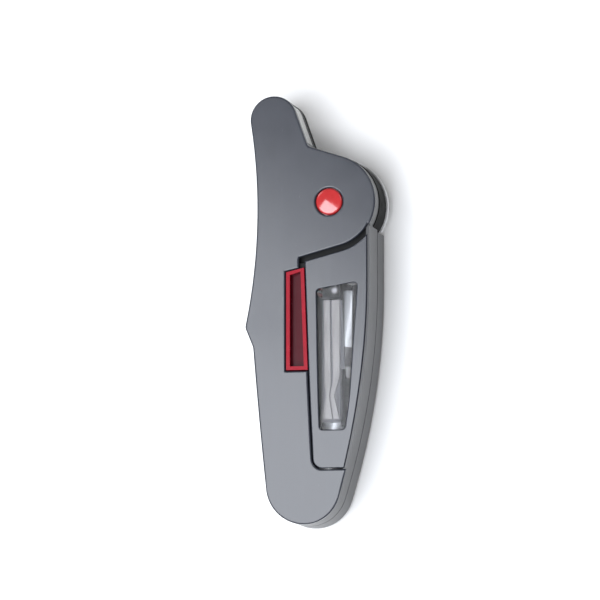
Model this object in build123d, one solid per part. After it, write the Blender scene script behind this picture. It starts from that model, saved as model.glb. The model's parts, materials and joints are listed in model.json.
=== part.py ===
from build123d import *
import math
import os

# Handheld cordless can opener.
#
# Frame: the opener lies on the flat underside of its lower housing. +Z is up, +Y runs from the handle to
# the nose, +X is the side of the round head. The origin is at the middle of the footprint, at the underside.
# All sizes are in millimetres.

# Body outline, seen from above
HUB = (9.5, 56.0)  # centre of the round head, and the drive axis
HEAD_R = 24.8
NOSE = (-20.4, 100.5)  # centre of the rounded nose tip
NOSE_R = 12.5
NOSE_SIDE_ANGLE = 19.6  # direction that the nose's straight side faces
NECK_CORNER = (-1.9, 85.8)
SHOULDER_ANGLE = 71.7
SIDE_X = 31.1  # straight side wall beside the battery cover
SIDE_END_Y = 15.0
SIDE_TOP_Y = HUB[1] - math.sqrt(HEAD_R**2 - (SIDE_X - HUB[0]) ** 2)
TAIL = (-5.5, -93.0)  # centre of the rounded handle end
TAIL_R = 20.0
TAIL_SIDE_ANGLE = -17.5
TAIL_LEFT_ANGLE = 184.6
LEFT_WAIST = (-29.2, 52.0)
GUARD_TIP = (-35.7, -9.5)  # finger guard on the left edge
GUARD_BACK = (-31.4, -20.0)
NOSE_LEFT_ANGLE = 189.0
NECK_R = 3.0
GUARD_TIP_R = 4.0
GUARD_BACK_R = 8.0
FAR = 60.0  # beyond the body on either side

# Heights
TOP_Z = 42.0
COVER = 2.4  # thickness of the top covers
SEAM = 0.4
SEAM_DEPTH = 0.9
TOP_FLAT_END_Y = -20.0  # behind this line the top face curves down
TOP_CURVE_R = 600.0
EDGE_R = 0.9
WALL = 2.2
LIP = 1.2
SPLIT_Z = 20.0  # top edge of the lower housing
SPLIT_GAP = 1.0
HEAD_WALL_Z = 32.0
HEAD_BAND_R = 25.2
HEAD_BAND_ANGLES = (-31.0, 73.0)
PLATE_Z = 11.0  # underside of the head
PLATE = 4.0
HEAD_PLATE_R = 26.0
FRONT_Y = 42.0  # front wall of the lower housing
BOTTOM_R = 4.0
NOSE_END_Y = 130.0  # beyond the nose
NOSE_INSERT_Z = (22.6, 38.6)
NOSE_INSERT_DEPTHS = (0.3, 1.2)  # from the wall's face to the insert's front and back
NOSE_INSERT_ANGLE = 42.0
NOSE_INSERT_SHORT = 2.5  # how far it stops short of the neck corner

# Top covers
GROOVE = 3.0
COVER_R = 24.0
COVER_LINE_ANGLE = -77.0
COVER_LINE_END = (-6.4, 26.9)
COVER_STEP_X = -6.7
PANEL_LEFT_TOP = (-3.5, 24.8)
PANEL_LEFT_LOW = (0.4, -84.0)
PANEL_INSET = 1.2
PANEL_END_Y = -84.0
PANEL_CORNER_R = 5.0
PANEL_EDGE_R = 0.6
PANEL_GAP = 0.6
LEDGE_TOP_Y = 42.6
WINDOW = ((2.8, 9.8), (24.7, 13.5), (20.1, -46.8), (17.6, -64.0), (4.0, -64.0))
WINDOW_R = 2.0
WINDOW_LEDGE = 1.5
PANE = 1.2

# Power bar
BAR_LEFT_X = -13.4
BAR_TOP_LEFT_Y = 19.1
BAR_TOP_RIGHT_Y = 21.3
BAR_MIDDLE_X = -8.2
BAR_END_Y = -32.5
BAR_GAP = 0.5
BAR_RIM = 1.9
BAR_DEPTH = 4.2
BAR_BASE_Z = 36.6
BAR_HINGE = (-30.4, 35.2)  # Y and Z of the pin
BAR_PIN_R = 1.0
BAR_PIN_LENGTH = 12.4
KNUCKLE_R = 2.2
KNUCKLE_LENGTH = 8.0
SWITCH_Y = 2.0
SWITCH_X = -9.5
SWITCH_Z = (21.5, 31.0)
SWITCH_FRAME_Z = (29.7, 39.0)

# Release button
BUTTON_R = 7.0
BUTTON_HOLE_R = 7.3
BUTTON_TOP_Z = 43.0
BUTTON_FLANGE_R = 8.6
BUTTON_FLANGE_Z = (38.2, 39.3)
BUTTON_DOME = 0.9
BUTTON_EDGE_R = 1.2
BUTTON_BORE_R = 4.4
BUTTON_BORE_Z = 40.8
DECK_Z = 34.8
DECK = 1.4

# Gears
MODULE = 0.8
PRESSURE_ANGLE = 20.0
ADDENDUM = 0.8
DEDENDUM = 1.15
BACKLASH = 0.18
OUTPUT_TEETH = 42
SMALL_TEETH = 14
LARGE_TEETH = 32
OUTPUT_GEAR_Z = (25.2, 29.8)
IDLER_SMALL_Z = (25.2, 30.6)
IDLER_LARGE_Z = (30.6, 33.8)
PINION_Z = (30.4, 34.2)
GEAR_PLATE_Z = (22.0, 24.0)
IDLER_PIN_R = 1.5
IDLER_ANGLE = 205.0
PINION_ANGLE = 258.0
RUN = 0.05  # radial clearance of a running fit

# Drive and cutter
SPINDLE_R = 3.0
DRIVE_WHEEL_R = 7.0
DRIVE_WHEEL_TEETH = 28
CUTTER = (-8.4, 58.0)
CUTTER_R = 8.5
ARM_PIVOT = (-17.0, 80.0)
ARM_Z = 8.8
ARM = 1.8

# Motor and cells
MOTOR_R = 11.0
MOTOR_TOP_Z = 20.6
MOTOR_SHAFT_R = 1.5
GEARHEAD_TOP_Z = 29.6
CELL_R = 7.2
CELL_LENGTH = 50.0
CELL_TOP = (22.0, 13.0)  # upper end of the cell row's axis
CELL_TILT = 8.64
CELL_Z = (12.3, 27.1)
CELL_GAP = 2.4  # from the row's upper end to the first cell
TRAY_WALL = 1.4
TRAY_HIGH_Z = CELL_Z[1] + 5.0
DECK_OVER_CELLS_Z = (34.5, 35.0)
STRIP = 0.6
TERMINALS = ((11.4, 13.2), (11.4, 9.4))
TERMINAL_BLOCK = ((4.6, 14.4), (4.8, 15.6), (TRAY_HIGH_Z, 36.4))

# Lid magnet
MAGNET = (-20.4, 101.5)
MAGNET_R = 6.0
MAGNET_Z = (4.6, 8.3)
MAGNET_HINGE = (-17.0, 89.0, 8.9)
MAGNET_PIN_R = 0.8
MAGNET_PIN_LENGTH = 16.6

# Fasteners
POSTS = ((-7.5, 85.0), (24.0, 68.0), (24.0, 47.0), (-21.0, 47.0))
CASE_SCREWS = ((-29.6, -4.0), (-22.9, -62.0), (-7.0, -107.6), (26.0, 24.0))
BOSS_R = 3.2


def at_angle(centre, radius, degrees):
    angle = math.radians(degrees)
    return (centre[0] + radius * math.cos(angle), centre[1] + radius * math.sin(angle))


def near(shape, point):
    """The vertex of a flat shape that is nearest to a point."""
    return min(shape.vertices(), key=lambda v: math.hypot(v.X - point[0], v.Y - point[1]))


def disc(centre, radius, low, high):
    return Pos(centre[0], centre[1], low) * extrude(Circle(radius), high - low)


def ring(centre, outer, inner, low, high):
    return Pos(centre[0], centre[1], low) * extrude(Circle(outer) - Circle(inner), high - low)


def block(x, y, z):
    """A box from three (low, high) pairs."""
    size = (x[1] - x[0], y[1] - y[0], z[1] - z[0])
    return Pos((x[0] + x[1]) / 2, (y[0] + y[1]) / 2, (z[0] + z[1]) / 2) * Box(*size)


def prism(face, low, high):
    return Pos(0, 0, low) * extrude(face, high - low)


def flat(*points):
    return make_face(Polyline(*points, close=True))


def body_outline():
    """The whole silhouette: nose, head, straight side, tapered handle and finger guard."""
    nose_left = at_angle(NOSE, NOSE_R, NOSE_LEFT_ANGLE)
    nose_right = at_angle(NOSE, NOSE_R, NOSE_SIDE_ANGLE)
    shoulder = at_angle(HUB, HEAD_R, SHOULDER_ANGLE)
    side_top = (SIDE_X, SIDE_TOP_Y)
    side_end = (SIDE_X, SIDE_END_Y)
    tail_right = at_angle(TAIL, TAIL_R, TAIL_SIDE_ANGLE)
    tail_left = at_angle(TAIL, TAIL_R, TAIL_LEFT_ANGLE)
    edges = [
        ThreePointArc(nose_left, at_angle(NOSE, NOSE_R, 100), nose_right),
        Line(nose_right, NECK_CORNER),
        Line(NECK_CORNER, shoulder),
        ThreePointArc(shoulder, at_angle(HUB, HEAD_R, 0), side_top),
        Line(side_top, side_end),
        TangentArc(side_end, tail_right, tangent=(0, -1)),
        ThreePointArc(tail_right, at_angle(TAIL, TAIL_R, -90), tail_left),
        Line(tail_left, GUARD_BACK),
        Line(GUARD_BACK, GUARD_TIP),
        ThreePointArc(GUARD_TIP, LEFT_WAIST, nose_left),
    ]
    face = make_face(edges)
    face = fillet(near(face, NECK_CORNER), NECK_R)
    face = fillet(near(face, GUARD_TIP), GUARD_TIP_R)
    return fillet(near(face, GUARD_BACK), GUARD_BACK_R)


def inset(amount):
    return offset(body_outline(), amount=-amount, kind=Kind.INTERSECTION)


def region(low_y, high_y, low_x=-60, high_x=60):
    """A plain rectangle that picks part of an outline."""
    return Pos((low_x + high_x) / 2, (low_y + high_y) / 2) * Rectangle(high_x - low_x, high_y - low_y)


def under_top(depth):
    """Everything below the top face shifted down by depth; the rear part curves down."""
    z = TOP_Z - depth
    reach = 140.0
    drop = TOP_CURVE_R - math.sqrt(TOP_CURVE_R**2 - (reach + TOP_FLAT_END_Y) ** 2)
    front = Line((0, reach, z), (0, TOP_FLAT_END_Y, z))
    rear = TangentArc((0, TOP_FLAT_END_Y, z), (0, -reach, z - drop), tangent=(0, -1, 0))
    down = Line((0, -reach, z - drop), (0, -reach, -20))
    floor = Line((0, -reach, -20), (0, reach, -20))
    up = Line((0, reach, -20), (0, reach, z))
    profile = make_face([front, rear, down, floor, up])
    return Pos(-60, 0, 0) * extrude(profile, 120, dir=(1, 0, 0))


def layer(face, top_depth, low_depth):
    """A flat outline between two depths below the curved top face."""
    column = prism(face, -10, 60)
    return (column & under_top(top_depth)) - under_top(low_depth)


# Top covers


def head_cover_face():
    """Nose, head disc and the long strip left of the power bar."""
    line_start = at_angle(HUB, COVER_R, COVER_LINE_ANGLE)
    low_y = BAR_END_Y - BAR_GAP
    corner = (PANEL_LEFT_LOW[0] - PANEL_GAP, PANEL_END_Y - PANEL_GAP)
    below_disc = flat(
        line_start,
        COVER_LINE_END,
        (COVER_STEP_X, COVER_LINE_END[1] - 1.0),
        (COVER_STEP_X, bar_top_y(COVER_STEP_X) + BAR_GAP),
        (BAR_LEFT_X - BAR_GAP, BAR_TOP_LEFT_Y + BAR_GAP),
        (BAR_LEFT_X - BAR_GAP, low_y),
        (bar_right_x(low_y, PANEL_GAP), low_y),
        corner,
        (FAR, PANEL_END_Y - PANEL_GAP),
        (FAR, SIDE_TOP_Y),
        (SIDE_X - COVER, SIDE_TOP_Y),
    )
    below_disc = fillet(near(below_disc, corner), PANEL_CORNER_R + PANEL_GAP)
    disc_keep = Pos(*HUB) * Circle(COVER_R)
    return body_outline() - (below_disc - disc_keep)


def panel_face():
    """Battery cover: right of the power bar, below the curved groove."""
    arc_r = COVER_R + GROOVE
    top_line = at_angle(HUB, arc_r, COVER_LINE_ANGLE)
    area = flat(
        PANEL_LEFT_TOP,
        top_line,
        (HUB[0] + 15, HUB[1]),
        (FAR, HUB[1]),
        (FAR, PANEL_END_Y),
        PANEL_LEFT_LOW,
    )
    area = area - Pos(*HUB) * Circle(arc_r)
    face = inset(PANEL_INSET) & area
    return fillet(near(face, PANEL_LEFT_LOW), PANEL_CORNER_R)


def window_face(grow=0.0):
    face = flat(*WINDOW)
    face = fillet(face.vertices(), WINDOW_R)
    return offset(face, amount=grow) if grow else face


def soften_top(shape, radius):
    """Rounds the edges all round the top face, but not the line where it starts to curve down."""
    large = 300.0
    tops = [f for f in shape.faces() if f.normal_at().Z > 0.9 and f.area > large]
    tops = sorted(tops, key=lambda f: f.center().Z)[-2:]
    edges = [e for f in tops for e in f.edges()]
    bend = [e for e in edges if abs(e.center().Y - TOP_FLAT_END_Y) < 0.01 and e.length > 2]
    return fillet([e for e in edges if e not in bend], radius)


def head_cover():
    face = head_cover_face()
    shape = layer(face, 0, COVER - SEAM)
    rib = face & inset(SEAM_DEPTH)
    shape = shape + layer(rib, COVER - SEAM - 0.01, COVER)
    shape = shape - disc(HUB, BUTTON_HOLE_R, 30, 50)
    return soften_top(shape.solids().sort_by(SortBy.VOLUME)[-1], EDGE_R)


def battery_cover():
    face = panel_face()
    shape = layer(face, 0, COVER) - layer(window_face(), -1, COVER + 1)
    shape = shape - layer(window_face(WINDOW_LEDGE), COVER - PANE, COVER + 1)
    return soften_top(shape.solids().sort_by(SortBy.VOLUME)[-1], PANEL_EDGE_R)


def battery_window():
    return layer(window_face(WINDOW_LEDGE - 0.1), COVER - PANE, COVER)


# Shells


def upper_housing():
    """Side wall from the covers down to the seam; the round head's wall is shorter."""
    wall = body_outline() - inset(WALL)
    shape = prism(wall, SPLIT_Z + SPLIT_GAP, 60) & under_top(COVER)
    sector = head_sector(HEAD_R + 3, HEAD_R - WALL - 1)
    shape = shape - prism(sector, 0, HEAD_WALL_Z)
    side_ledge = body_outline() - inset(PANEL_INSET - 0.2)
    side_ledge = side_ledge & region(PANEL_END_Y - 0.5, LEDGE_TOP_Y, 0, FAR)
    shape = shape + layer(side_ledge, 0.2, COVER + 0.1)
    for centre in CASE_SCREWS:
        shape = shape + disc(centre, BOSS_R, SPLIT_Z, 30.0)
        shape = shape - disc(centre, 1.1, 0, 29)
    low, high = NOSE_INSERT_Z
    return shape - nose_insert(0, low, high)


def head_sector(outer, inner):
    """Piece of a ring round the head, on the side where the head stands out from the body."""
    first, last = HEAD_BAND_ANGLES
    reach = 2 * outer
    wedge = flat(
        HUB,
        at_angle(HUB, reach, first),
        at_angle(HUB, reach, (first + last) / 2),
        at_angle(HUB, reach, last),
    )
    return (Pos(*HUB) * (Circle(outer) - Circle(inner))) & wedge


def head_band():
    """Dark band below the head's wall, which runs on round the neck and the nose."""
    low_z = PLATE_Z + PLATE
    high_z = SPLIT_Z + SPLIT_GAP
    wall = (body_outline() - inset(WALL + 0.4)) & region(FRONT_Y + 0.4, NOSE_END_Y)
    shape = prism(wall, low_z, high_z)
    tall = head_sector(HEAD_BAND_R, HEAD_R - WALL)
    shape = shape + prism(tall, low_z, HEAD_WALL_Z)
    return shape


def head_plate():
    """Metal plate under the head and the nose; its round rim stands out below the band."""
    face = inset(0.5) & region(FRONT_Y + 0.4, NOSE_END_Y)
    face = face + (head_sector(HEAD_PLATE_R, 5) & region(FRONT_Y + 0.4, NOSE_END_Y))
    shape = prism(face, PLATE_Z, PLATE_Z + PLATE)
    shape = shape - disc(HUB, SPINDLE_R + 2, 0, 30)
    shape = shape - disc(ARM_PIVOT, 2.0, 0, 30)
    for post in POSTS:
        shape = shape - disc(post, 1.5, 0, 30)
    return shape


def lower_housing():
    """Floor and wall of the lower half, with screw bosses and the post that carries the switch."""
    area = region(-130, FRONT_Y)
    outer = prism(body_outline() & area, 0, SPLIT_Z)
    bottom = outer.faces().sort_by(Axis.Z)[0].edges()
    outer = fillet(bottom, BOTTOM_R)
    inner = prism(inset(WALL) & region(-130, FRONT_Y - WALL), WALL, SPLIT_Z + 5)
    shape = outer - inner
    lip = (inset(WALL - LIP + 0.1) - inset(WALL + LIP)) & region(-130, FRONT_Y - WALL)
    lip_low = (inset(WALL - 0.6) - inset(WALL + LIP)) & region(-130, FRONT_Y - WALL)
    shape = shape + prism(lip, SPLIT_Z - 3, SPLIT_Z + SPLIT_GAP)
    shape = shape + prism(lip_low - (body_outline() - inset(WALL)), SPLIT_Z, SPLIT_Z + SPLIT_GAP + 1.2)
    for centre in CASE_SCREWS:
        shape = shape + disc(centre, BOSS_R, WALL - 0.5, SPLIT_Z)
        shape = shape - disc(centre, BOSS_R + 0.3, SPLIT_Z, SPLIT_Z + 5)
        shape = shape - disc(centre, 1.5, -1, SPLIT_Z + 1)
        shape = shape - disc(centre, 2.4, -1, 2.4)
    shape = shape + block((-12.5, -6.5), (SWITCH_Y - 5, SWITCH_Y + 5), (WALL - 0.5, 21.5))
    return shape


def nose_insert(front, low, high):
    """A band let into the right wall of the nose, from its rounded tip down to the neck."""
    facing = math.radians(NOSE_SIDE_ANGLE)
    normal = (math.cos(facing), math.sin(facing))
    end = (NECK_CORNER[0] - NOSE_INSERT_SHORT * normal[1], NECK_CORNER[1] + NOSE_INSERT_SHORT * normal[0])
    area = flat(
        NOSE,
        at_angle(NOSE, 2 * NOSE_R, NOSE_INSERT_ANGLE),
        at_angle(NOSE, 2 * NOSE_R, NOSE_SIDE_ANGLE / 2),
        (end[0] + BOTTOM_R * normal[0], end[1] + BOTTOM_R * normal[1]),
        (end[0] - BOTTOM_R * normal[0], end[1] - BOTTOM_R * normal[1]),
    )
    band = inset(front) if front else body_outline()
    return prism((band - inset(NOSE_INSERT_DEPTHS[1])) & area, low, high)


def nose_plate():
    """Bright metal insert in the nose's wall, with a fine groove along its middle."""
    low, high = NOSE_INSERT_Z
    front = NOSE_INSERT_DEPTHS[0]
    middle = (low + high) / 2
    groove_depth = 0.3
    plate = nose_insert(front, low, high)
    groove = prism(inset(front - 0.1) - inset(front + groove_depth), middle - 0.3, middle + 0.3)
    return plate - groove


def case_screws():
    solids = []
    for x, y in CASE_SCREWS:
        screw = disc((x, y), 2.2, 0.7, 2.4) + disc((x, y), 1.1, 2.4, 26)
        screw = screw - block((x - 1.6, x + 1.6), (y - 0.25, y + 0.25), (0, 1.4))
        screw = screw - block((x - 0.25, x + 0.25), (y - 1.6, y + 1.6), (0, 1.4))
        solids.append(screw)
    return Compound(solids)


# Gears


def involute_point(base_r, radius):
    """Polar angle, in radians, of an involute at a radius."""
    if radius <= base_r:
        return 0.0
    roll = math.sqrt((radius / base_r) ** 2 - 1)
    return roll - math.atan(roll)


def gear_face(teeth, tooth_angle):
    """Involute spur gear about the origin, with one tooth centred at tooth_angle degrees."""
    pitch_r = MODULE * teeth / 2
    base_r = pitch_r * math.cos(math.radians(PRESSURE_ANGLE))
    tip_r = pitch_r + ADDENDUM * MODULE
    root_r = pitch_r - DEDENDUM * MODULE
    half = (math.pi * MODULE / 2 - BACKLASH) / 2 / pitch_r + involute_point(base_r, pitch_r)
    start_r = max(base_r, root_r)
    radii = [start_r + (tip_r - start_r) * i / 4 for i in range(5)]
    if start_r > root_r:
        radii = [root_r] + radii
    points = []
    for tooth in range(teeth):
        centre = math.radians(tooth_angle) + 2 * math.pi * tooth / teeth
        flank = [(r, half - involute_point(base_r, r)) for r in radii]
        for r, a in flank:
            points.append((r * math.cos(centre - a), r * math.sin(centre - a)))
        for r, a in reversed(flank):
            points.append((r * math.cos(centre + a), r * math.sin(centre + a)))
    return flat(*points)


IDLER = at_angle(HUB, MODULE * (OUTPUT_TEETH + SMALL_TEETH) / 2, IDLER_ANGLE)
PINION = at_angle(IDLER, MODULE * (LARGE_TEETH + SMALL_TEETH) / 2, PINION_ANGLE)


def gear(teeth, centre, tooth_angle, low, high):
    return Pos(centre[0], centre[1], low) * extrude(gear_face(teeth, tooth_angle), high - low)


def output_gear():
    """Large gear on the spindle, with a hub and six lightening holes."""
    low, high = OUTPUT_GEAR_Z
    shape = gear(OUTPUT_TEETH, HUB, IDLER_ANGLE, low, high)
    for i in range(6):
        shape = shape - disc(at_angle(HUB, 10.0, 30 + 60 * i), 2.8, low - 1, high + 1)
    shape = shape + ring(HUB, SPINDLE_R + 2.5, SPINDLE_R, low - 0.4, high + 1.2)
    return shape - disc(HUB, SPINDLE_R, low - 1, high + 2)


def idler_gear():
    gap = 180.0 / SMALL_TEETH
    small = gear(SMALL_TEETH, IDLER, IDLER_ANGLE + 180 + gap, *IDLER_SMALL_Z)
    large = gear(LARGE_TEETH, IDLER, PINION_ANGLE, *IDLER_LARGE_Z)
    return small + large - disc(IDLER, IDLER_PIN_R + RUN, 20, 40)


def motor_pinion():
    gap = 180.0 / SMALL_TEETH
    shape = gear(SMALL_TEETH, PINION, PINION_ANGLE + 180 + gap, *PINION_Z)
    return shape + disc(PINION, MOTOR_SHAFT_R, GEARHEAD_TOP_Z - 4, PINION_Z[0] + 0.6)


def gearbox_plate():
    """Metal plate that carries the upper bush, the idler's pin and the plate posts."""
    low, high = GEAR_PLATE_Z
    face = inset(WALL + 0.6) & region(41.2, 84)
    shape = prism(face, low, high) - disc(HUB, SPINDLE_R + 1.6, low - 1, high + 1)
    shape = shape - disc(IDLER, IDLER_PIN_R, low - 1, high + 1)
    for post in POSTS[1:]:
        shape = shape - disc(post, 1.2, low - 1, high + 1)
    return shape


def gear_cover():
    """Dark deck over the gears, which shows at the bottom of the groove between the covers."""
    high = DECK_Z + DECK
    face = inset(WALL + 0.2) & region(16.6, 84)
    face = face - region(0, 24.4, -17, 0.6)
    shape = prism(face, DECK_Z, high)
    shape = shape - disc(IDLER, IDLER_PIN_R, DECK_Z - 1, high + 1)
    return shape - disc(HUB, 2.0, DECK_Z - 1, high + 1)


def idler_pin():
    return disc(IDLER, IDLER_PIN_R, GEAR_PLATE_Z[0], DECK_Z + DECK)


def posts():
    solids = []
    for post in POSTS:
        top = 22.0 if post[1] < 84 else 21.0
        solids.append(ring(post, 2.6, 1.2, PLATE_Z + PLATE, top))
    return Compound(solids)


def head_screws():
    solids = []
    for x, y in POSTS:
        screw = disc((x, y), 2.3, PLATE_Z - 1.2, PLATE_Z) + disc((x, y), 1.2, PLATE_Z, 20.5)
        screw = screw - block((x - 1.6, x + 1.6), (y - 0.3, y + 0.3), (PLATE_Z - 2, PLATE_Z - 0.6))
        solids.append(screw)
    return Compound(solids)


# Drive and cutter


def drive_spindle():
    shape = disc(HUB, SPINDLE_R, 2.6, 33.6)
    return shape - ring(HUB, SPINDLE_R + 1, SPINDLE_R - 0.5, 31.4, 32.2)


def spindle_bushes():
    low = ring(HUB, SPINDLE_R + 2, SPINDLE_R + RUN, PLATE_Z - 0.6, PLATE_Z + PLATE + 1)
    high = ring(HUB, SPINDLE_R + 1.6, SPINDLE_R + RUN, 21.4, 24.6)
    return Compound([low, high])


def spindle_clip():
    shape = ring(HUB, SPINDLE_R + 1.8, SPINDLE_R - 0.45, 31.45, 32.15)
    gap = block((HUB[0] - 2, HUB[0] + 2), (HUB[1], HUB[1] + 8), (31, 33))
    return shape - gap


def drive_wheel():
    """Serrated wheel that walks the opener round the can's rim."""
    points = []
    for tooth in range(DRIVE_WHEEL_TEETH):
        pitch = 360.0 / DRIVE_WHEEL_TEETH
        points.append(at_angle((0, 0), DRIVE_WHEEL_R - 0.8, tooth * pitch))
        points.append(at_angle((0, 0), DRIVE_WHEEL_R, (tooth + 0.5) * pitch))
    shape = Pos(HUB[0], HUB[1], 3.4) * extrude(flat(*points), 3.2)
    shape = shape + disc(HUB, 5.2, 1.8, 9.6)
    return shape - disc(HUB, SPINDLE_R, 2.6, 12)


def cutter_arm():
    """Steel arm under the head plate, from its pivot to the cutting wheel."""
    ends = [Pos(*ARM_PIVOT) * Circle(5.0), Pos(*CUTTER) * Circle(4.6)]
    face = make_hull((ends[0] + ends[1]).edges())
    shape = prism(face, ARM_Z, ARM_Z + ARM)
    shape = shape - disc(ARM_PIVOT, 2.0 + RUN, 0, 20)
    return shape - disc(CUTTER, 1.6, 0, 20)


def arm_pivot_pin():
    return disc(ARM_PIVOT, 2.0, 8.0, PLATE_Z + PLATE) + disc(ARM_PIVOT, 3.6, 7.2, 8.2)


def cutting_wheel():
    """Hardened disc with a bevelled edge."""
    edge_z = 5.0
    half = 1.5
    profile = flat(
        (1.6 + RUN, edge_z - half),
        (CUTTER_R - 3.0, edge_z - half),
        (CUTTER_R, edge_z - 0.1),
        (CUTTER_R, edge_z + 0.1),
        (CUTTER_R - 3.0, edge_z + half),
        (1.6 + RUN, edge_z + half),
    )
    turned = revolve(Plane.XZ * profile, Axis.Z)
    return Pos(CUTTER[0], CUTTER[1], 0) * turned


def cutter_axle():
    shape = disc(CUTTER, 1.6, 3.0, ARM_Z + ARM)
    return shape + disc(CUTTER, 3.0, 2.2, 3.2) + ring(CUTTER, 2.8, 1.6, 6.8, ARM_Z)


def arm_spring():
    """Torsion spring round the arm's pivot head, drawn as its wound ring and two legs."""
    coil = ring(ARM_PIVOT, 4.6, 3.8, 6.4, 8.5)
    leg = block((ARM_PIVOT[0] - 12, ARM_PIVOT[0] - 4.2), (ARM_PIVOT[1] - 0.4, ARM_PIVOT[1] + 0.4), (7.5, 8.3))
    return coil + leg


# Lid magnet


def along_magnet_hinge(radius, length, x=MAGNET_HINGE[0]):
    return Pos(x, MAGNET_HINGE[1], MAGNET_HINGE[2]) * Rot(0, 90, 0) * Cylinder(radius, length)


def magnet_arm():
    """Small lever under the nose that carries the lid magnet."""
    pad = Pos(*MAGNET) * Circle(MAGNET_R + 1)
    root = Pos(MAGNET_HINGE[0], MAGNET_HINGE[1] + 1) * Rectangle(10, 3)
    face = make_hull((pad + root).edges())
    low = MAGNET_Z[1]
    shape = prism(face, low, low + 1.2) + along_magnet_hinge(2 * MAGNET_PIN_R, 10)
    shape = shape - along_magnet_hinge(MAGNET_PIN_R + RUN, 2 * MAGNET_PIN_LENGTH)
    return shape - disc(MAGNET, 1.2, 0, low + 5)


def magnet_pin():
    return along_magnet_hinge(MAGNET_PIN_R, MAGNET_PIN_LENGTH)


def magnet_lugs():
    solids = []
    y = MAGNET_HINGE[1]
    for x in (MAGNET_HINGE[0] - 7.4, MAGNET_HINGE[0] + 7.4):
        lug = block((x - 0.9, x + 0.9), (y - 1.8, y + 1.6), (7.2, PLATE_Z))
        solids.append(lug - along_magnet_hinge(MAGNET_PIN_R, 10, x))
    return Compound(solids)


def lid_magnet():
    return ring(MAGNET, MAGNET_R, 1.2, *MAGNET_Z)


def magnet_rivet():
    low, high = MAGNET_Z
    shape = disc(MAGNET, 1.2, low, high + 1.2) + disc(MAGNET, 2.2, high + 1.2, high + 1.7)
    return shape + disc(MAGNET, 2.4, low - 0.6, low)


# Button and power bar


def dome_height(dome_r, radius):
    """Height of the button's dome at a distance from its middle."""
    return BUTTON_TOP_Z - dome_r + math.sqrt(dome_r**2 - radius**2)


def release_button():
    """Round red button with a domed top, a rolled edge and a flange that keeps it in."""
    flange_low, flange_high = BUTTON_FLANGE_Z
    dome_r = (BUTTON_R**2 + BUTTON_DOME**2) / (2 * BUTTON_DOME)
    edge_low = (BUTTON_R, BUTTON_TOP_Z - BUTTON_DOME - BUTTON_EDGE_R)
    edge_high = (BUTTON_R - BUTTON_EDGE_R, dome_height(dome_r, BUTTON_R - BUTTON_EDGE_R))
    turn = math.sqrt(0.5)
    edge_middle = (
        BUTTON_R - BUTTON_EDGE_R * (1 - turn),
        edge_low[1] + (edge_high[1] - edge_low[1]) * turn,
    )
    half_way = (BUTTON_R / 2, dome_height(dome_r, BUTTON_R / 2))
    profile = make_face(
        [
            Line((0, flange_low), (BUTTON_R, flange_low)),
            Line((BUTTON_R, flange_low), edge_low),
            ThreePointArc(edge_low, edge_middle, edge_high),
            ThreePointArc(edge_high, half_way, (0, BUTTON_TOP_Z)),
            Line((0, BUTTON_TOP_Z), (0, flange_low)),
        ]
    )
    cap = Pos(HUB[0], HUB[1], 0) * revolve(Plane.XZ * profile, Axis.Z)
    cap = cap + disc(HUB, BUTTON_FLANGE_R, flange_low, flange_high)
    return cap - disc(HUB, BUTTON_BORE_R, flange_low - 1, BUTTON_BORE_Z)


def coil(centre, radius, wire, low, high, turns):
    """A compression spring."""
    path = Helix((high - low - wire) / turns, high - low - wire, radius)
    section = Plane(origin=path @ 0, z_dir=path % 0) * Circle(wire / 2)
    return Pos(centre[0], centre[1], low + wire / 2) * sweep(section, path, is_frenet=True)


def button_spring():
    return coil(HUB, 3.5, 0.5, DECK_Z + DECK + 0.02, BUTTON_BORE_Z - 0.05, 4)


def bar_right_x(y, gap):
    """Right edge of the power bar, parallel to the battery cover's left edge."""
    run = (PANEL_LEFT_LOW[0] - PANEL_LEFT_TOP[0]) / (PANEL_LEFT_LOW[1] - PANEL_LEFT_TOP[1])
    return PANEL_LEFT_TOP[0] + (y - PANEL_LEFT_TOP[1]) * run - gap


def bar_top_y(x):
    """Upper edge of the power bar, which climbs a little to the right."""
    right_x = bar_right_x(BAR_TOP_RIGHT_Y, BAR_GAP)
    climb = (BAR_TOP_RIGHT_Y - BAR_TOP_LEFT_Y) / (right_x - BAR_LEFT_X)
    return BAR_TOP_LEFT_Y + (x - BAR_LEFT_X) * climb


def bar_face(inset_by=0.0):
    low_y = BAR_END_Y + inset_by
    high_y = BAR_TOP_RIGHT_Y - inset_by
    left_x = BAR_LEFT_X + inset_by
    gap = BAR_GAP + inset_by
    return flat(
        (left_x, bar_top_y(left_x) - inset_by),
        (left_x, low_y),
        (bar_right_x(low_y, gap), low_y),
        (bar_right_x(high_y, gap), high_y),
    )


def across_bar(radius, length):
    """A cylinder along the power bar's hinge."""
    y, z = BAR_HINGE
    return Pos(BAR_MIDDLE_X, y, z) * Rot(0, 90, 0) * Cylinder(radius, length)


def power_bar():
    """Long bar, hinged at its lower end, with a trough sunk into its face and a rib over the switch."""
    y, z = BAR_HINGE
    shape = layer(bar_face(), -0.2, TOP_Z - BAR_BASE_Z)
    shape = shape - layer(bar_face(BAR_RIM), -1, BAR_DEPTH)
    web = block((-12.2, -4.2), (y - 1.5, y + 1.5), (z, BAR_BASE_Z + 0.4))
    rib = block((-10.5, -8.5), (SWITCH_Y - 1.5, SWITCH_Y + 1.5), (34.1, BAR_BASE_Z + 0.2))
    shape = shape + across_bar(KNUCKLE_R, KNUCKLE_LENGTH) + web + rib
    return shape - across_bar(BAR_PIN_R + RUN, 2 * BAR_PIN_LENGTH)


def power_bar_pin():
    return across_bar(BAR_PIN_R, BAR_PIN_LENGTH)


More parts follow.
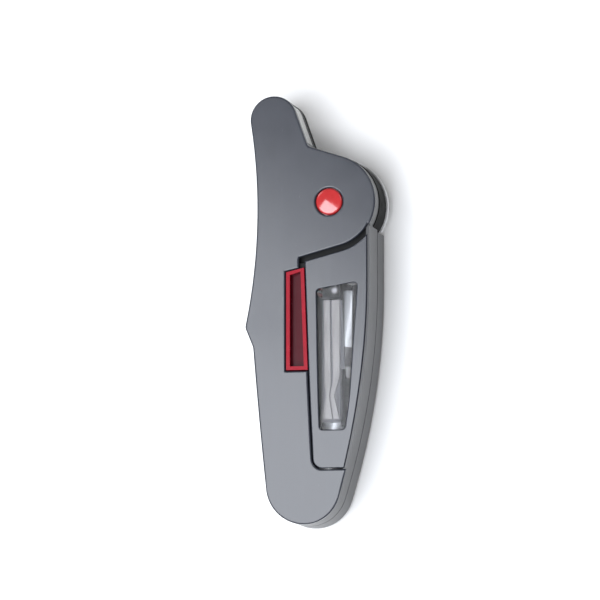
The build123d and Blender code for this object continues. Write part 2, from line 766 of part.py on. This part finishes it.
def switch_frame():
    """Dark liner round the power bar's slot; its ears hold the pin."""
    outer = flat((-16.2, 21.6), (-16.2, -35.0), (0.3, -35.0), (-0.4, 24.0), (-7.6, 24.0))
    low, high = SWITCH_FRAME_Z
    slot = offset(bar_face(), amount=BAR_GAP - 0.05) + switch_room()
    shape = prism(outer, low, high) - prism(slot, low - 1, high + 1)
    shelf = block((-14.8, -2.6), (9.2, 15.2), (low, 31.0))
    return shape + shelf - across_bar(BAR_PIN_R, BAR_PIN_LENGTH)


def switch_room():
    return flat((-13.9, 17.0), (-13.9, -33.0), (-2.5, -33.0), (-3.4, 19.0))


def microswitch():
    low, high = SWITCH_Z
    shape = block((SWITCH_X - 3.5, SWITCH_X + 3.5), (SWITCH_Y - 6.5, SWITCH_Y + 6.5), (low, high))
    shape = shape - disc((SWITCH_X, SWITCH_Y), 1.2, high - 3.5, high + 1)
    for y in (SWITCH_Y - 4.5, SWITCH_Y + 4.5):
        shape = shape - Pos(SWITCH_X, y, low + 3) * Rot(0, 90, 0) * Cylinder(1.0, 10)
    return shape


def microswitch_plunger():
    return disc((SWITCH_X, SWITCH_Y), 1.15, SWITCH_Z[1] - 1.6, SWITCH_Z[1] + 3)


def power_bar_spring():
    return coil((-9.2, 12.2), 2.2, 0.6, 31.0, BAR_BASE_Z - 0.02, 4)


# Motor, cells and wiring


def gear_motor():
    shape = disc(PINION, MOTOR_R, WALL, MOTOR_TOP_Z)
    for i in range(3):
        x, y = at_angle(PINION, MOTOR_R, 20 + 120 * i)
        shape = shape - disc((x, y), 1.2, 5, 8)
    return shape


def gearhead():
    shape = disc(PINION, MOTOR_R - 0.4, MOTOR_TOP_Z, GEARHEAD_TOP_Z)
    for i in range(4):
        shape = shape - disc(at_angle(PINION, 8.6, 45 + 90 * i), 1.0, GEARHEAD_TOP_Z - 1.0, 40)
    return shape - disc(PINION, MOTOR_SHAFT_R + RUN, GEARHEAD_TOP_Z - 5, 40)


def along_cells(shape):
    """Places a shape made with the cell row's axis on -Y from the origin."""
    return Pos(CELL_TOP[0], CELL_TOP[1], 0) * Rot(0, 0, -CELL_TILT) * shape


def battery_cells():
    solids = []
    for z in CELL_Z:
        for i in range(2):
            start = -CELL_GAP - i * (CELL_LENGTH + 1.5)
            body = Pos(0, start - 1.2 - (CELL_LENGTH - 1.2) / 2, z) * Rot(90, 0, 0)
            cell = body * Cylinder(CELL_R, CELL_LENGTH - 1.2)
            cell = fillet(cell.edges(), 0.6)
            nub = Pos(0, start - 0.7, z) * Rot(90, 0, 0) * Cylinder(2.6, 1.4)
            solids.append(along_cells(cell + nub))
    return Compound(solids)


def tray_length():
    return 2 * CELL_LENGTH + 8.5


def battery_tray():
    """Open-topped trough for the cells, with a shelf on its left side under the window."""
    half = CELL_R + 0.25
    low = CELL_Z[0] - CELL_R - 0.2
    high = TRAY_HIGH_Z
    length = tray_length()
    outer = block((-half - TRAY_WALL, half + 0.8), (-length, 1.6), (low - 1.4, high))
    inner = block((-half, half), (-length + TRAY_WALL, 0.2), (low, high + 5))
    tray = along_cells(outer - inner)
    tray = tray & prism(inset(WALL + 0.05), 0, 60)
    tray = tray - prism(body_outline() - inset(WALL + LIP + 0.1), SPLIT_Z - 3.2, SPLIT_Z + 2.4)
    shelf_face = flat((3.6, 14.0), (16.0, 14.0), (16.0, -66.0), (3.6, -66.0))
    shelf = prism(shelf_face, high - 2.2, high - 0.8)
    shelf = shelf - along_cells(block((-half - TRAY_WALL, 40), (-length - 20, 30), (0, 60)))
    return tray + shelf


def contact_springs():
    solids = []
    for z in CELL_Z:
        turns = coil((0, 0), 3.2, 0.6, 0.0, 2.5, 2)
        placed = Pos(0, -tray_length() + TRAY_WALL + 3.13, z) * Rot(90, 0, 0) * turns
        solids.append(along_cells(placed))
    return Compound(solids)


def contact_plates():
    solids = []
    length = tray_length()
    for z in CELL_Z:
        solids.append(along_cells(block((-4.5, 4.5), (-0.6, 0.2), (z - 5, z + 5))))
        low_y = -length + TRAY_WALL
        solids.append(along_cells(block((-4.5, 4.5), (low_y, low_y + 0.6), (z - 5, z + 5))))
    return Compound(solids)


def strip_carrier():
    """Grey plate beside the cells that holds the strips; its flange stands on the tray's shelf."""
    low, high = DECK_OVER_CELLS_Z
    face = flat((4.4, 4.4), (15.1, 4.4), (16.6, -31.4), (14.2, -31.4), (14.2, -60.0), (4.4, -60.0))
    flange = block((4.4, 5.2), (-38.0, 4.4), (TRAY_HIGH_Z - 0.8, low))
    return prism(face, low, high) + flange


def cell_retainer():
    """Dark plate over the cells, with a tapered opening through which the upper cell shows."""
    low, high = DECK_OVER_CELLS_Z
    face = flat(
        (20.6, 12.4),
        (FAR, 14.5),
        (FAR, -62.0),
        (14.6, -62.0),
        (14.6, -31.8),
        (16.8, -31.8),
        (16.9, -37.0),
        (19.0, -37.0),
        (20.2, -20.0),
    )
    half = CELL_R + 0.25
    rib = along_cells(block((half, half + 0.7), (-44.0, -18.0), (TRAY_HIGH_Z, low)))
    return prism(face & inset(WALL + 0.3), low, high) + rib


def bus_strips():
    """Two tinned strips that run beside the cells; they neck in near their lower end."""
    low = DECK_OVER_CELLS_Z[1]
    left = [(5.4, 4.6), (8.6, 4.6), (9.0, -40.0), (8.2, -46.0), (10.0, -58.0), (4.4, -58.0), (6.6, -46.0)]
    left.append((5.8, -40.0))
    right = [(9.6, 4.6), (13.8, 4.6), (13.8, -36.0), (10.9, -46.0), (13.8, -58.0), (10.6, -58.0)]
    right = right + [(9.0, -46.0), (10.4, -36.0)]
    return Compound([prism(flat(*points), low, low + STRIP) for points in (left, right)])


def terminal_block():
    """Dark block for the leads and strips; its foot stands on the tray's shelf."""
    left, front, low = (pair[0] for pair in TERMINAL_BLOCK)
    high = TERMINAL_BLOCK[2][1]
    foot = block((left, left + 6.4), (front, front + 8.4), (low - 0.8, low))
    shape = block(*TERMINAL_BLOCK) + foot
    shape = shape - block((5.0, 14.2), (3.0, 6.0), (34.4, 35.7))
    for place in TERMINALS:
        shape = shape - disc(place, 1.0, high - 2.4, high + 1)
    return shape


def terminal_screws():
    solids = []
    high = TERMINAL_BLOCK[2][1]
    for x, y in TERMINALS:
        screw = disc((x, y), 1.0, high - 2.4, high) + disc((x, y), 1.5, high, high + 0.7)
        solids.append(screw - block((x - 2, x + 2), (y - 0.25, y + 0.25), (high + 0.4, high + 2)))
    return Compound(solids)


def wire(points, bend):
    path = FilletPolyline(*points, radius=bend)
    section = Plane(origin=path @ 0, z_dir=path % 0) * Circle(0.7)
    return sweep(section, path)


def lead_wires():
    """Two leads from the motor, along the floor and up to the terminal block."""
    low = 4.0
    high = 34.0
    end_x = TERMINAL_BLOCK[0][0]
    bend = 1.5
    first = wire([(-4, 14.6, low), (2.0, 12.0, low), (2.5, 11.0, high), (end_x, 11.0, high)], bend)
    second = wire([(-5, 12.4, low), (2.0, 8.8, low), (2.5, 7.6, high), (end_x, 7.6, high)], bend)
    return Compound([first, second])


def build():
    return {
        "head_cover": head_cover(),
        "battery_cover": battery_cover(),
        "battery_window": battery_window(),
        "upper_housing": upper_housing(),
        "lower_housing": lower_housing(),
        "head_band": head_band(),
        "head_plate": head_plate(),
        "nose_plate": nose_plate(),
        "case_screws": case_screws(),
        "output_gear": output_gear(),
        "idler_gear": idler_gear(),
        "motor_pinion": motor_pinion(),
        "gearbox_plate": gearbox_plate(),
        "gear_cover": gear_cover(),
        "idler_pin": idler_pin(),
        "plate_posts": posts(),
        "head_screws": head_screws(),
        "drive_spindle": drive_spindle(),
        "spindle_bushes": spindle_bushes(),
        "spindle_clip": spindle_clip(),
        "drive_wheel": drive_wheel(),
        "cutter_arm": cutter_arm(),
        "arm_pivot_pin": arm_pivot_pin(),
        "cutting_wheel": cutting_wheel(),
        "cutter_axle": cutter_axle(),
        "arm_spring": arm_spring(),
        "magnet_arm": magnet_arm(),
        "magnet_pin": magnet_pin(),
        "magnet_lugs": magnet_lugs(),
        "lid_magnet": lid_magnet(),
        "magnet_rivet": magnet_rivet(),
        "release_button": release_button(),
        "button_spring": button_spring(),
        "power_bar": power_bar(),
        "power_bar_pin": power_bar_pin(),
        "switch_frame": switch_frame(),
        "microswitch": microswitch(),
        "microswitch_plunger": microswitch_plunger(),
        "power_bar_spring": power_bar_spring(),
        "gear_motor": gear_motor(),
        "gearhead": gearhead(),
        "battery_cells": battery_cells(),
        "battery_tray": battery_tray(),
        "contact_springs": contact_springs(),
        "contact_plates": contact_plates(),
        "strip_carrier": strip_carrier(),
        "cell_retainer": cell_retainer(),
        "bus_strips": bus_strips(),
        "terminal_block": terminal_block(),
        "terminal_screws": terminal_screws(),
        "lead_wires": lead_wires(),
    }


os.makedirs("parts", exist_ok=True)
for name, shape in build().items():
    export_step(shape, f"parts/{name}.step")
    print(name, round(shape.volume, 1), [round(v, 2) for v in shape.bounding_box().size])
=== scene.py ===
"""Looks of the handheld can opener: a procedural material for each slot, then camera, floor and light.

Metres, in the CAD frame. Every visible piece is a CAD node, kept as it is; only its material is set here.
Noise scales count repeats per metre, so 1000 gives a grain of about a millimetre.
"""

import json
import math

import bmesh
import bpy
from mathutils import Matrix, Vector

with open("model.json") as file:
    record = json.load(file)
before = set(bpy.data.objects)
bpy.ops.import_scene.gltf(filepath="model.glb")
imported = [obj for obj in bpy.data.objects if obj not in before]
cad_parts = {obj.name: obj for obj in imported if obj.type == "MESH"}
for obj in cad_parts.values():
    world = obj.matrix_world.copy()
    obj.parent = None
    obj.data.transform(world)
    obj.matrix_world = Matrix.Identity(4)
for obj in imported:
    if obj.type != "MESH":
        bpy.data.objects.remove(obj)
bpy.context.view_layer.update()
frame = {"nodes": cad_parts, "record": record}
NODES = frame["nodes"]

MM = 0.001
MICRON = 0.001 * MM

# Camera: a long lens, nearly straight above, moved a little towards the round head's side and the handle
LENS = 300.0
SENSOR = 36.0
VIEW_WIDTH = 0.3145  # width of the picture at the object
TARGET = Vector((-0.0060, 0.0043, 0.0420))
TILT_SIDE = math.radians(12.5)
TILT_DOWN = math.radians(7.0)
CLIP_END = 20.0

# Studio: a pale floor just below the object, an even surround, and soft lights
FLOOR_HALF = 4.0
FLOOR_SQUARES = 8
FLOOR_DROP = 0.2 * MM
SURROUND = 0.34
WHITE = (1.0, 1.0, 1.0)
LIGHTS = (
    # Mirrored by the handle and hardly by the nose, so the top face goes from pale to dark
    dict(
        name="handle_softbox", place=(-0.25, -0.375, 1.15), target=(-0.02, -0.05, 0.04),
        size=(1.1, 1.0), power=28.0, colour=(0.92, 0.95, 1.0),
    ),
    dict(
        name="right_softbox", place=(1.2, 0.75, 0.5), target=(0.0, 0.05, 0.02),
        size=(0.8, 0.6), power=4.0, colour=WHITE,
    ),
    dict(
        name="left_key", place=(-0.80, 0.72, 0.60), target=(0.0, 0.05, 0.04),
        size=(0.5, 0.35), power=3.5, colour=WHITE,
    ),
)

# Cell row, as a line that starts at its upper end
CELL_TOP = (0.022, 0.013)
CELL_TILT = math.radians(8.64)
CELL_PITCH = 51.5 * MM
CELL_GAP = 2.4 * MM  # from the row's upper end to the first cell

# Heights of the power bar's trough, between which painted shade darkens its red towards the floor
TROUGH_FLOOR_Z = 38.0 * MM  # the power bar's trough, down from its rim
TROUGH_RIM_Z = 40.8 * MM

# Ramp ends: a noise's values mostly lie in MID, and a ramp goes from nothing to all of it in FULL
MID = (0.3, 0.7)
FULL = (0.0, 1.0)


# Material building blocks


class Shader:
    """A material's node tree with short calls for the nodes used here."""

    def __init__(self, name):
        self.material = bpy.data.materials.new(name)
        self.material.use_nodes = True
        self.tree = self.material.node_tree
        self.main = self.tree.nodes["Principled BSDF"]
        self.place = self.add("ShaderNodeTexCoord").outputs["Object"]

    def add(self, kind, **settings):
        node = self.tree.nodes.new(kind)
        for key, value in settings.items():
            setattr(node, key, value)
        return node

    def link(self, source, target):
        """Feeds a socket from a node's output, a number or a colour."""
        if isinstance(source, (int, float, tuple)):
            target.default_value = source
        else:
            self.tree.links.new(source, target)

    def math(self, operation, a, b, clamp=False):
        node = self.add("ShaderNodeMath", operation=operation, use_clamp=clamp)
        self.link(a, node.inputs[0])
        self.link(b, node.inputs[1])
        return node.outputs[0]

    def noise(self, scale=1.0, detail=3.0, rough=0.55, place=None, distortion=0.0):
        node = self.add("ShaderNodeTexNoise")
        self.link(place or self.place, node.inputs["Vector"])
        node.inputs["Scale"].default_value = scale
        node.inputs["Detail"].default_value = detail
        node.inputs["Roughness"].default_value = rough
        node.inputs["Distortion"].default_value = distortion
        return node.outputs["Fac"]

    def stretched(self, x, y, z, turn=0.0):
        """Object coordinates scaled along each axis and turned about Z, for grain."""
        node = self.add("ShaderNodeMapping")
        node.inputs["Scale"].default_value = (x, y, z)
        node.inputs["Rotation"].default_value = (0.0, 0.0, turn)
        self.link(self.place, node.inputs["Vector"])
        return node.outputs["Vector"]

    def ramp(self, factor, span=MID, out=FULL):
        """A number within span, mapped to the range out and held at its ends."""
        node = self.add("ShaderNodeMapRange")
        self.link(factor, node.inputs["Value"])
        for socket, value in zip(("From Min", "From Max", "To Min", "To Max"), (*span, *out)):
            node.inputs[socket].default_value = value
        return node.outputs["Result"]

    def mix(self, factor, a, b):
        node = self.add("ShaderNodeMix", data_type="RGBA")
        self.link(factor, node.inputs["Factor"])
        self.link(a, node.inputs["A"])
        self.link(b, node.inputs["B"])
        return node.outputs["Result"]

    def mottled(self, noise, colour, at_low, at_high, span=MID):
        """The colour, its brightness wandering from at_low to at_high with a noise."""
        return self.mix(self.ramp(noise, span), scaled(colour, at_low), scaled(colour, at_high))

    def tinted(self, share, base, colour, brightness):
        """The base, taken by a share towards the colour at another brightness."""
        return self.mix(share, base, scaled(colour, brightness))

    def edges(self, radius, strength):
        """How much a point lies on a convex or concave edge, from 0 to strength."""
        bevel = self.add("ShaderNodeBevel", samples=4)
        bevel.inputs["Radius"].default_value = radius
        normal = self.add("ShaderNodeNewGeometry").outputs["Normal"]
        dot = self.add("ShaderNodeVectorMath", operation="DOT_PRODUCT")
        self.link(bevel.outputs["Normal"], dot.inputs[0])
        self.link(normal, dot.inputs[1])
        return self.ramp(dot.outputs["Value"], span=(0.995, 0.75), out=(0.0, strength))

    def bump(self, height, depth, strength):
        node = self.add("ShaderNodeBump")
        node.inputs["Strength"].default_value = strength
        node.inputs["Distance"].default_value = depth
        self.link(height, node.inputs["Height"])
        return node.outputs["Normal"]

    def finish(self, colour, roughness, normal=None, **fixed):
        """Feeds the main shader; fixed holds uniform numbers by socket name, _ standing for a space."""
        self.link(colour, self.main.inputs["Base Color"])
        self.link(roughness, self.main.inputs["Roughness"])
        if normal is not None:
            self.link(normal, self.main.inputs["Normal"])
        for name, value in fixed.items():
            self.main.inputs[name.replace("_", " ")].default_value = value
        return self.material


def grey(value, blue=0.0):
    """A grey, with a share more blue and half that share more green."""
    return (value, value * (1 + 0.5 * blue), value * (1 + blue), 1.0)


def scaled(colour, factor):
    return (colour[0] * factor, colour[1] * factor, colour[2] * factor, 1.0)


def around(middle, spread):
    return (middle - spread, middle + spread)


# Materials


def moulded_plastic(name, colour, rough, wear, shine=0.5):
    """Injection-moulded plastic: faint flow lines, fine spark texture, polished edges, light scuffs."""
    s = Shader(name)
    cloud = s.noise(scale=35.0, detail=4.0)
    flow = s.noise(place=s.stretched(220.0, 18.0, 60.0), distortion=0.4)
    fine = s.noise(scale=5200.0, detail=2.0, rough=0.6)
    streaks = s.noise(detail=5.0, rough=0.7, place=s.stretched(900.0, 90.0, 300.0, turn=0.6))
    scuff = s.ramp(streaks, span=(0.64, 0.76))
    base = s.mottled(cloud, colour, at_low=0.94, at_high=1.07)
    base = s.tinted(s.ramp(flow, span=(0.45, 0.75), out=(0.0, 0.35)), base, colour, brightness=1.12)
    base = s.tinted(s.edges(0.6 * MM, wear), base, colour, brightness=1.9)
    base = s.tinted(s.math("MULTIPLY", scuff, 0.10), base, colour, brightness=2.2)
    roughness = s.ramp(cloud, span=(0.25, 0.75), out=around(rough, 0.035))
    roughness = s.math("ADD", roughness, s.math("MULTIPLY", scuff, 0.12))
    roughness = s.math("ADD", roughness, s.ramp(fine, out=around(0.0, 0.03)))
    normal = s.bump(fine, depth=10.0 * MICRON, strength=0.55)
    return s.finish(base, roughness, normal, Specular_IOR_Level=shine)


def rubber(name, colour):
    """Dull black rubber, a little paler along its edges."""
    s = Shader(name)
    cloud = s.noise(scale=60.0, detail=4.0)
    fine = s.noise(scale=3500.0, rough=0.6)
    base = s.mottled(cloud, colour, at_low=0.8, at_high=1.35)
    base = s.tinted(s.edges(0.5 * MM, 0.3), base, colour, brightness=3.0)
    roughness = s.ramp(cloud, out=(0.55, 0.68))
    normal = s.bump(fine, depth=30.0 * MICRON, strength=0.6)
    return s.finish(base, roughness, normal, Specular_IOR_Level=0.06)


def brushed_metal(name, colour, rough, along, turn=0.0):
    """Metal with fine brush lines along one direction."""
    s = Shader(name)
    across_lines, along_lines = 5200.0, 60.0
    scales = [along_lines if axis == along else across_lines for axis in "xyz"]
    lines = s.noise(rough=0.6, place=s.stretched(*scales, turn))
    cloud = s.noise(scale=90.0, detail=4.0)
    base = s.mottled(lines, colour, at_low=0.82, at_high=1.06)
    base = s.tinted(s.ramp(cloud, span=(0.45, 0.8), out=(0.0, 0.25)), base, colour, brightness=0.7)
    base = s.tinted(s.edges(0.4 * MM, 0.5), base, colour, brightness=1.2)
    line_roughness = s.ramp(lines, out=(rough - 0.07, rough + 0.08))
    roughness = s.math("ADD", line_roughness, s.ramp(cloud, span=(0.3, 0.8), out=(0.0, 0.08)))
    return s.finish(base, roughness, s.bump(lines, depth=12.0 * MICRON, strength=0.5), Metallic=1.0)


def turned_metal(name, colour, rough):
    """Machined steel with fine tool marks and a few handling marks."""
    s = Shader(name)
    marks = s.noise(detail=2.0, rough=0.5, place=s.stretched(700.0, 700.0, 9000.0))
    cloud = s.noise(scale=140.0, detail=5.0)
    base = s.mottled(cloud, colour, at_low=1.05, at_high=0.72, span=(0.35, 0.75))
    base = s.tinted(s.edges(0.3 * MM, 0.5), base, colour, brightness=1.25)
    mark_roughness = s.ramp(marks, out=(rough - 0.05, rough + 0.06))
    roughness = s.math("ADD", mark_roughness, s.ramp(cloud, span=(0.4, 0.8), out=(0.0, 0.12)))
    return s.finish(base, roughness, s.bump(marks, depth=10.0 * MICRON, strength=0.5), Metallic=1.0)


# A cell's bands from its upper end: where each starts, as a share of the pitch, and its colour
SLEEVE_BANDS = (
    (0.0, grey(0.3)),  # metal end
    (0.03, grey(0.50, 0.08)),  # silver label
    (0.60, grey(0.045)),  # dark band
    (0.80, grey(0.36)),  # pale end
    # painted shade: the cell's last stretch is darkened to stand for the shadowed gap before the next cell
    (0.91, grey(0.12)),  # gap before the next cell
)


def cell_sleeve(name):
    """Shrink-sleeved cells: silver label, a dark band, a pale end and a painted shadow at the gap before
    the next cell, repeated along the row.
    """
    s = Shader(name)
    shifted = s.add("ShaderNodeVectorMath", operation="SUBTRACT")
    s.link(s.place, shifted.inputs[0])
    shifted.inputs[1].default_value = (*CELL_TOP, 0.0)
    along = s.add("ShaderNodeVectorMath", operation="DOT_PRODUCT")
    s.link(shifted.outputs["Vector"], along.inputs[0])
    along.inputs[1].default_value = (-math.sin(CELL_TILT), -math.cos(CELL_TILT), 0.0)
    start = s.math("SUBTRACT", along.outputs["Value"], CELL_GAP)
    share = s.math("DIVIDE", s.math("MODULO", start, CELL_PITCH), CELL_PITCH)

    band = s.add("ShaderNodeValToRGB")
    band.color_ramp.interpolation = "CONSTANT"
    elements = band.color_ramp.elements
    elements[0].position, elements[0].color = SLEEVE_BANDS[0]
    elements[1].position, elements[1].color = SLEEVE_BANDS[1]
    for position, colour in SLEEVE_BANDS[2:]:
        elements.new(position).color = colour
    s.link(share, band.inputs["Fac"])

    cloud = s.noise(scale=120.0, detail=4.0)
    print_grain = s.noise(scale=2600.0, detail=2.0)
    base = s.mix(s.ramp(cloud, span=(0.4, 0.8), out=(0.0, 0.18)), band.outputs["Color"], grey(0.35))
    base = s.mix(s.ramp(print_grain, span=(0.5, 0.8), out=(0.0, 0.12)), base, grey(0.9))
    wrinkles = s.bump(s.noise(scale=800.0), depth=40.0 * MICRON, strength=0.4)
    return s.finish(base, s.ramp(cloud, out=(0.24, 0.36)), wrinkles, Metallic=0.35)


def clear_pane(name):
    """Clear moulded window: nearly invisible face on, a faint reflection, and soft smears."""
    s = Shader(name)
    s.tree.nodes.remove(s.main)
    smear_place = s.stretched(160.0, 26.0, 60.0, turn=0.3)
    smear = s.noise(detail=5.0, rough=0.65, place=smear_place, distortion=0.8)
    clear = s.add("ShaderNodeBsdfTransparent")
    tint = s.mix(s.ramp(smear, span=(0.4, 0.7)), (0.88, 0.88, 0.89, 1.0), grey(0.93))
    s.link(tint, clear.inputs["Color"])
    gloss = s.add("ShaderNodeBsdfGlossy")
    s.link(s.ramp(smear, span=(0.35, 0.75), out=(0.06, 0.2)), gloss.inputs["Roughness"])
    s.link(s.bump(smear, depth=20.0 * MICRON, strength=0.3), gloss.inputs["Normal"])
    fresnel = s.add("ShaderNodeFresnel")
    fresnel.inputs["IOR"].default_value = 1.45
    mirror = s.ramp(fresnel.outputs["Fac"], span=(0.03, 1.0), out=(0.008, 0.5))
    share = s.math("ADD", mirror, s.edges(0.5 * MM, 0.03), clamp=True)
    blend = s.add("ShaderNodeMixShader")
    s.link(share, blend.inputs["Fac"])
    s.link(clear.outputs["BSDF"], blend.inputs[1])
    s.link(gloss.outputs["BSDF"], blend.inputs[2])
    s.link(blend.outputs["Shader"], s.tree.nodes["Material Output"].inputs["Surface"])
    return s.material


def red_gloss(name, colour, rough, coat, shine=0.5, trough_shade=None):
    """Glossy red plastic, paler and pinker along its edges as a painted highlight; where a trough shade
    colour is given, red darkens to it below the rim as painted shade in the recess.
    """
    s = Shader(name)
    cloud = s.noise(scale=180.0, detail=4.0)
    fine = s.noise(scale=4200.0, detail=2.0, rough=0.6)
    red, green, blue = colour
    # Painted highlight: the edges turn paler and pinker, standing for light caught on the rounded rims
    edge_highlight_colour = (red * 1.3, green * 2.2, blue * 2.2, 1.0)
    base = s.mottled(cloud, colour, at_low=0.88, at_high=1.08)
    base = s.mix(s.edges(0.4 * MM, 0.3), base, edge_highlight_colour)
    # Painted shade: below the trough's rim the red darkens with depth towards the trough shade colour,
    # standing for shade in the recess
    if trough_shade:
        height = s.add("ShaderNodeSeparateXYZ")
        s.link(s.place, height.inputs["Vector"])
        depth = s.ramp(height.outputs["Z"], span=(TROUGH_RIM_Z, TROUGH_FLOOR_Z))
        base = s.mix(depth, base, (*trough_shade, 1.0))
    cloud_roughness = s.ramp(cloud, out=(rough - 0.03, rough + 0.04))
    roughness = s.math("ADD", cloud_roughness, s.ramp(fine, out=around(0.0, 0.02)))
    return s.finish(
        base, roughness, s.bump(fine, depth=8.0 * MICRON, strength=0.4),
        Coat_Weight=coat, Coat_Roughness=0.06, Specular_IOR_Level=shine,
    )


def nylon(name, colour):
    """Natural gear nylon, slightly translucent, with darker patches."""
    s = Shader(name)
    cloud = s.noise(scale=220.0, detail=4.0)
    fine = s.noise(scale=2600.0, detail=2.0)
    patches = s.ramp(s.noise(scale=60.0, detail=5.0), span=(0.55, 0.75), out=(0.0, 0.35))
    base = s.mottled(cloud, colour, at_low=0.9, at_high=1.05)
    base = s.tinted(patches, base, colour, brightness=0.6)
    roughness = s.ramp(cloud, out=(0.42, 0.55))
    normal = s.bump(fine, depth=10.0 * MICRON, strength=0.5)
    return s.finish(base, roughness, normal, Subsurface_Weight=0.08)


# What each slot is made of
SLOTS = {
    "cover_plastic": (moulded_plastic, dict(colour=(0.022, 0.025, 0.034), rough=0.19, wear=0.22)),
    "housing_plastic": (
        moulded_plastic, dict(colour=(0.036, 0.037, 0.040), rough=0.34, wear=0.25, shine=0.35)
    ),
    "band_black": (rubber, dict(colour=(0.004, 0.004, 0.0042))),
    "plate_steel": (brushed_metal, dict(colour=(0.60, 0.60, 0.61), rough=0.34, along="x", turn=0.35)),
    "bright_steel": (brushed_metal, dict(colour=(0.52, 0.52, 0.51), rough=0.32, along="z")),
    "button_red": (red_gloss, dict(colour=(0.40, 0.016, 0.018), rough=0.16, coat=0.7)),
    # The power bar's trough shade colour is painted shade for its recess
    "bar_red": (
        red_gloss,
        dict(colour=(0.25, 0.006, 0.016), rough=0.24, coat=0.02, shine=0.06, trough_shade=(0.060, 0.003, 0.008)),
    ),
    "window_clear": (clear_pane, dict()),
    # Near black: a darker copy of the deck plastic, painted shade for the deck's shaded right-hand part
    "deck_dark": (moulded_plastic, dict(colour=(0.008, 0.0085, 0.009), rough=0.5, wear=0.3, shine=0.15)),
    "gear_nylon": (nylon, dict(colour=(0.80, 0.77, 0.68))),
    "hard_steel": (turned_metal, dict(colour=(0.66, 0.66, 0.68), rough=0.18)),
    "spring_steel": (turned_metal, dict(colour=(0.50, 0.50, 0.52), rough=0.28)),
    "screw_steel": (turned_metal, dict(colour=(0.26, 0.26, 0.27), rough=0.42)),
    "motor_steel": (brushed_metal, dict(colour=(0.52, 0.52, 0.53), rough=0.32, along="z")),
    "gearhead_cast": (turned_metal, dict(colour=(0.42, 0.42, 0.43), rough=0.42)),
    "bush_bronze": (turned_metal, dict(colour=(0.60, 0.38, 0.18), rough=0.36)),
    "magnet_ferrite": (turned_metal, dict(colour=(0.30, 0.30, 0.31), rough=0.26)),
    "tray_plastic": (moulded_plastic, dict(colour=(0.078, 0.080, 0.090), rough=0.42, wear=0.2)),
    "cell_label": (cell_sleeve, dict()),
    "contact_nickel": (brushed_metal, dict(colour=(0.22, 0.215, 0.212), rough=0.42, along="y")),
    "switch_black": (moulded_plastic, dict(colour=(0.02, 0.02, 0.021), rough=0.5, wear=0.25, shine=0.3)),
    "wire_red": (moulded_plastic, dict(colour=(0.20, 0.018, 0.018), rough=0.45, wear=0.1)),
}


def dress_nodes():
    """Gives every CAD node its slot's material."""
    materials = {slot: make(slot, **settings) for slot, (make, settings) in SLOTS.items()}
    slots = {part["node"]: part["material_slot"] for part in frame["record"]["subparts"]}
    for name, node in NODES.items():
        node.data.materials.clear()
        node.data.materials.append(materials[slots[name]])


# Camera, floor and light


def make_camera():
    data = bpy.data.cameras.new("camera")
    data.lens = LENS
    data.sensor_width = SENSOR
    camera = bpy.data.objects.new("camera", data)
    bpy.context.scene.collection.objects.link(camera)
    distance = VIEW_WIDTH * LENS / SENSOR
    back = Vector((math.tan(TILT_SIDE), -math.tan(TILT_DOWN), 1.0)).normalized()
    right = Vector((0.0, 1.0, 0.0)).cross(back).normalized()
    up = back.cross(right)
    turn = Matrix((right, up, back)).transposed()
    camera.matrix_world = Matrix.Translation(TARGET + back * distance) @ turn.to_4x4()
    data.clip_end = CLIP_END
    bpy.context.scene.camera = camera


def make_floor():
    mesh = bpy.data.meshes.new("floor")
    work = bmesh.new()
    bmesh.ops.create_grid(work, x_segments=FLOOR_SQUARES, y_segments=FLOOR_SQUARES, size=FLOOR_HALF)
    work.to_mesh(mesh)
    work.free()
    floor = bpy.data.objects.new("floor", mesh)
    floor.location = (0.0, 0.0, -FLOOR_DROP)
    bpy.context.scene.collection.objects.link(floor)
    s = Shader("floor_white")
    base = s.mix(s.noise(scale=3.0, detail=2.0), grey(0.86), grey(0.90))
    floor.data.materials.append(s.finish(base, 0.9))


def area_light(name, place, target, size, power, colour):
    data = bpy.data.lights.new(name, "AREA")
    data.shape = "RECTANGLE"
    data.size, data.size_y = size
    data.energy = power
    data.color = colour
    light = bpy.data.objects.new(name, data)
    light.location = place
    aim = (Vector(target) - Vector(place)).normalized()
    light.rotation_euler = aim.to_track_quat("-Z", "Y").to_euler()
    bpy.context.scene.collection.objects.link(light)


def make_lights():
    world = bpy.data.worlds.new("studio")
    world.use_nodes = True
    background = world.node_tree.nodes["Background"]
    background.inputs["Color"].default_value = (*WHITE, 1.0)
    background.inputs["Strength"].default_value = SURROUND
    bpy.context.scene.world = world
    for light in LIGHTS:
        area_light(**light)


dress_nodes()
make_camera()
make_floor()
make_lights()
bpy.context.scene.view_settings.view_transform = "Standard"
